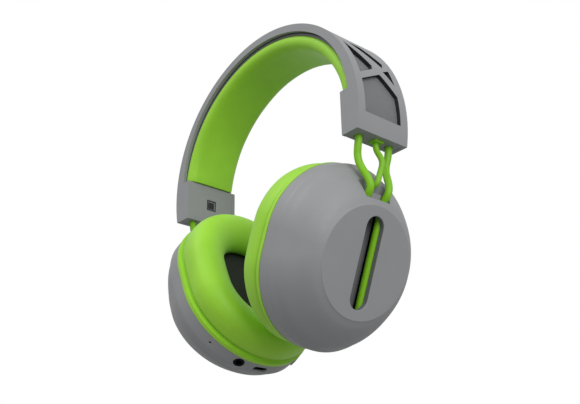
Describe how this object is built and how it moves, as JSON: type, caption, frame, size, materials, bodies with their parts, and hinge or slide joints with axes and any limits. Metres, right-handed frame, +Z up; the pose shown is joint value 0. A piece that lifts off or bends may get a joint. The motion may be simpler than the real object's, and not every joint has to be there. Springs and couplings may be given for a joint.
{
  "type": "wireless over-ear headphones",
  "caption": "Wireless over-ear headphones: rigid padded arch with truss windows, bent rods from each end block, and oval cups that slide on the rods, with ring cushions and rear buttons.",
  "frame": {"origin": "midway between the two ear cushions, on the line through the wearer's ears", "axes": "+X towards the wearer's right ear when the wearer faces +Y, +Y forward, +Z up to the crown of the band"},
  "size_m": [0.1626, 0.0854, 0.1938],
  "materials": {
    "shell_grey": "fine moulded texture",
    "mesh_fabric": "woven mesh",
    "soft_lime": "smooth synthetic leather over foam",
    "plastic_lime": "satin",
    "cable_lime": "satin",
    "cloth_black": "fine woven cloth",
    "black_plastic": "matte",
    "dark_plastic": "matte",
    "steel": "plain",
    "board_green": "solder mask",
    "battery_wrap": "film wrap"
  },
  "bodies": {
    "band": {"band_shell": "shell_grey", "band_mesh_l": "mesh_fabric", "band_mesh_r": "mesh_fabric", "band_spring": "steel", "band_liner": "dark_plastic", "band_pad": "soft_lime", "block_plate_l": "shell_grey", "block_plate_r": "shell_grey", "block_base_l": "dark_plastic", "block_base_r": "dark_plastic", "yoke_l": "plastic_lime", "yoke_r": "plastic_lime", "yoke_screws_l": "steel", "yoke_screws_r": "steel", "rod_clip_l": "dark_plastic", "rod_clip_r": "dark_plastic", "grommet_l": "plastic_lime", "grommet_r": "plastic_lime", "cable_l": "cable_lime", "cable_r": "cable_lime"},
    "cup_r": {"cup_shell_r": "shell_grey", "slide_guide_r": "dark_plastic", "baffle_r": "dark_plastic", "driver_r": "black_plastic", "speaker_cloth_r": "cloth_black", "cushion_ring_r": "plastic_lime", "ear_cushion_r": "soft_lime", "baffle_screws_r": "steel", "battery": "battery_wrap"},
    "cup_l": {"cup_shell_l": "shell_grey", "slide_guide_l": "dark_plastic", "baffle_l": "dark_plastic", "driver_l": "black_plastic", "speaker_cloth_l": "cloth_black", "cushion_ring_l": "plastic_lime", "ear_cushion_l": "soft_lime", "baffle_screws_l": "steel", "circuit_board": "board_green", "charging_port": "steel", "headphone_socket": "black_plastic", "microphone": "black_plastic"},
    "button_power": {"button_power": "shell_grey"},
    "button_up": {"button_up": "shell_grey"},
    "button_down": {"button_down": "shell_grey"}
  },
  "joints": [
    {"name": "cup_r_slide", "type": "slide", "parent": "band", "child": "cup_r", "axis": [-0.3875, 0, -0.9219], "range_m": [0, 0.02], "deforming": ["cable_r", "ear_cushion_r"]},
    {"name": "cup_l_slide", "type": "slide", "parent": "band", "child": "cup_l", "axis": [0.3875, 0, -0.9219], "range_m": [-0.0024, 0.0176], "deforming": ["cable_l", "ear_cushion_l"]},
    {"name": "button_power_press", "type": "slide", "parent": "cup_l", "child": "button_power", "axis": [-0.2054, -0.848, 0.4885], "range_m": [0, 0.0005], "stiffness_N_per_m": 2500, "springref_m": -0.0002},
    {"name": "button_up_press", "type": "slide", "parent": "cup_l", "child": "button_up", "axis": [-0.288, -0.6691, 0.6851], "range_m": [0, 0.0005], "stiffness_N_per_m": 2500, "springref_m": -0.0002},
    {"name": "button_down_press", "type": "slide", "parent": "cup_l", "child": "button_down", "axis": [-0.1068, -0.9613, 0.2541], "range_m": [0, 0.0005], "stiffness_N_per_m": 2500, "springref_m": -0.0002}
  ]
}
